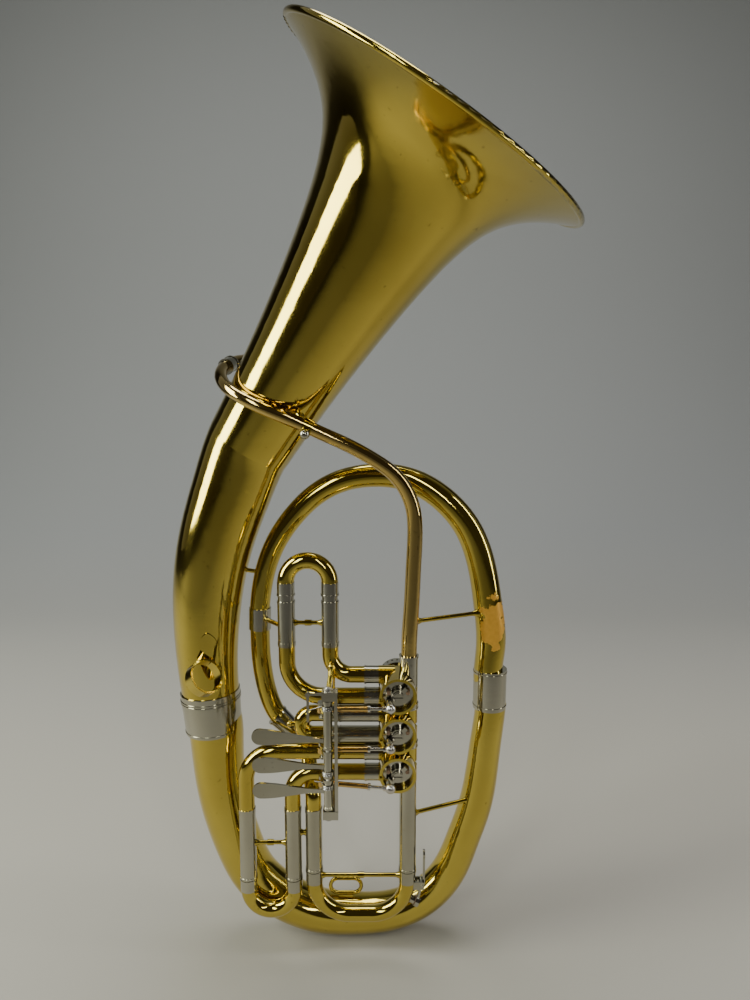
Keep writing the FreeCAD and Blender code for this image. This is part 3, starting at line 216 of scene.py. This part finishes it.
def paper():
    """Matt paper, warmer where it lies flat, with painted shade that darkens it far from
    its centre.
    """
    material, nodes, shader, coords = new_material("paper")
    axis = nodes.add("SeparateXYZ")
    nodes.link(coords, axis.inputs[0])
    depth = nodes.map_range(axis.outputs["Y"], 0.3, 1.3, 0, 1)
    plan = nodes.add("VectorMath", operation="MULTIPLY")
    plan.inputs[1].default_value = (1, 1, 0)
    nodes.link(coords, plan.inputs[0])
    reach = nodes.add("VectorMath", operation="DISTANCE")
    reach.inputs[1].default_value = PAPER_SHADE_CENTRE
    nodes.link(plan.outputs["Vector"], reach.inputs[0])
    # painted shade: the paper darkens from 1.3 m out from the centre and is fully dark at
    # 1.9 m
    edge = nodes.map_range(reach.outputs["Value"], 1.3, 1.9, 0, 1)
    colour = nodes.mix(edge, nodes.mix(depth, PAPER_FLOOR, PAPER_WALL), PAPER_PAINTED_SHADE)
    nodes.link(colour, shader.inputs["Base Color"])
    shader.inputs["Roughness"].default_value = 0.9
    return material


def dress():
    """Gives each CAD node the look of its slot in the record, apart from the rods."""
    looks = {"lacquered_brass": lacquered_brass()}
    for name in ("gold_brass", "nickel_silver", "steel"):
        looks[name] = metal(name)[0]
    looks["cork"] = cork()
    rod = two_metal_rod()
    for part in frame["record"]["subparts"]:
        is_rod = part["node"].startswith("linkage_rod")
        chosen = rod if is_rod else looks[part["material_slot"]]
        for slot in frame["nodes"][part["node"]].material_slots:
            slot.material = chosen


def add_floor():
    """A paper sweep: level under the horn, curving up into the wall behind it."""
    profile = [(SWEEP_FRONT_Y, 0.0), (SWEEP_BEND_Y, 0.0)]
    for step in range(1, SWEEP_STEPS + 1):
        angle = math.radians(90 / SWEEP_STEPS * step)
        y = SWEEP_BEND_Y + SWEEP_R * math.sin(angle)
        profile.append((y, SWEEP_R * (1 - math.cos(angle))))
    profile.append((SWEEP_BEND_Y + SWEEP_R, SWEEP_TOP_Z))
    sides = (-SWEEP_HALF_WIDTH, SWEEP_HALF_WIDTH)
    rows = [(x, y, z - SWEEP_DROP) for y, z in profile for x in sides]
    faces = [(2 * i, 2 * i + 1, 2 * i + 3, 2 * i + 2) for i in range(len(profile) - 1)]
    mesh = bpy.data.meshes.new("paper_sweep")
    mesh.from_pydata(rows, [], faces)
    mesh.shade_smooth()
    sweep = bpy.data.objects.new("paper_sweep", mesh)
    bpy.context.collection.objects.link(sweep)
    sweep.data.materials.append(paper())


def area_light(name, location, size, power, colour=(1, 1, 1)):
    data = bpy.data.lights.new(name, "AREA")
    data.shape = "RECTANGLE"
    data.size, data.size_y = size
    data.energy = power
    data.color = colour
    light = bpy.data.objects.new(name, data)
    light.location = location
    towards = Vector(LIGHT_TARGET) - Vector(location)
    light.rotation_euler = towards.to_track_quat("-Z", "Y").to_euler()
    bpy.context.collection.objects.link(light)


def add_world():
    """A grey room, lighter above and behind the horn, and dim on the camera's side."""
    world = bpy.data.worlds.new("studio")
    world.use_nodes = True
    bpy.context.scene.world = world
    nodes = Nodes(world.node_tree)
    background = nodes.add("Background")
    output = nodes.add("OutputWorld")
    nodes.link(background.outputs[0], output.inputs["Surface"])
    axis = nodes.add("SeparateXYZ")
    nodes.link(nodes.add("TexCoord").outputs["Generated"], axis.inputs[0])
    height = nodes.map_range(axis.outputs["Z"], -0.3, 0.7, 0, 1)
    behind = nodes.mix(height, ROOM_LOW, ROOM_HIGH)
    front = nodes.map_range(axis.outputs["Y"], -0.2, 0.4, 1, 0)
    nodes.link(nodes.mix(front, behind, ROOM_FRONT), background.inputs["Color"])
    background.inputs["Strength"].default_value = 1.0


def add_lights():
    area_light("key_left", (-1.5, -0.4, 1.0), (0.6, 1.5), 36, (0.96, 1, 0.92))
    area_light("right", (1.7, -0.2, 0.8), (0.16, 1.5), 9, (0.97, 0.98, 1))
    area_light("front_strip", (0.55, -1.5, 1.1), (0.1, 1.2), 5)
    area_light("front_window", (-0.75, -1.5, 1.3), (0.35, 0.9), 9, (0.94, 1, 0.93))
    area_light("top", (0.1, 0.2, 2.0), (1.2, 0.9), 22)


def add_camera():
    data = bpy.data.cameras.new("camera")
    data.lens = 26
    data.sensor_width = 36
    data.clip_start = 0.01
    camera = bpy.data.objects.new("camera", data)
    camera.location = CAMERA_AT
    camera.rotation_euler = (CAMERA_TARGET - CAMERA_AT).to_track_quat("-Z", "Y").to_euler()
    bpy.context.collection.objects.link(camera)
    bpy.context.scene.camera = camera


dress()
add_floor()
add_world()
add_lights()
add_camera()
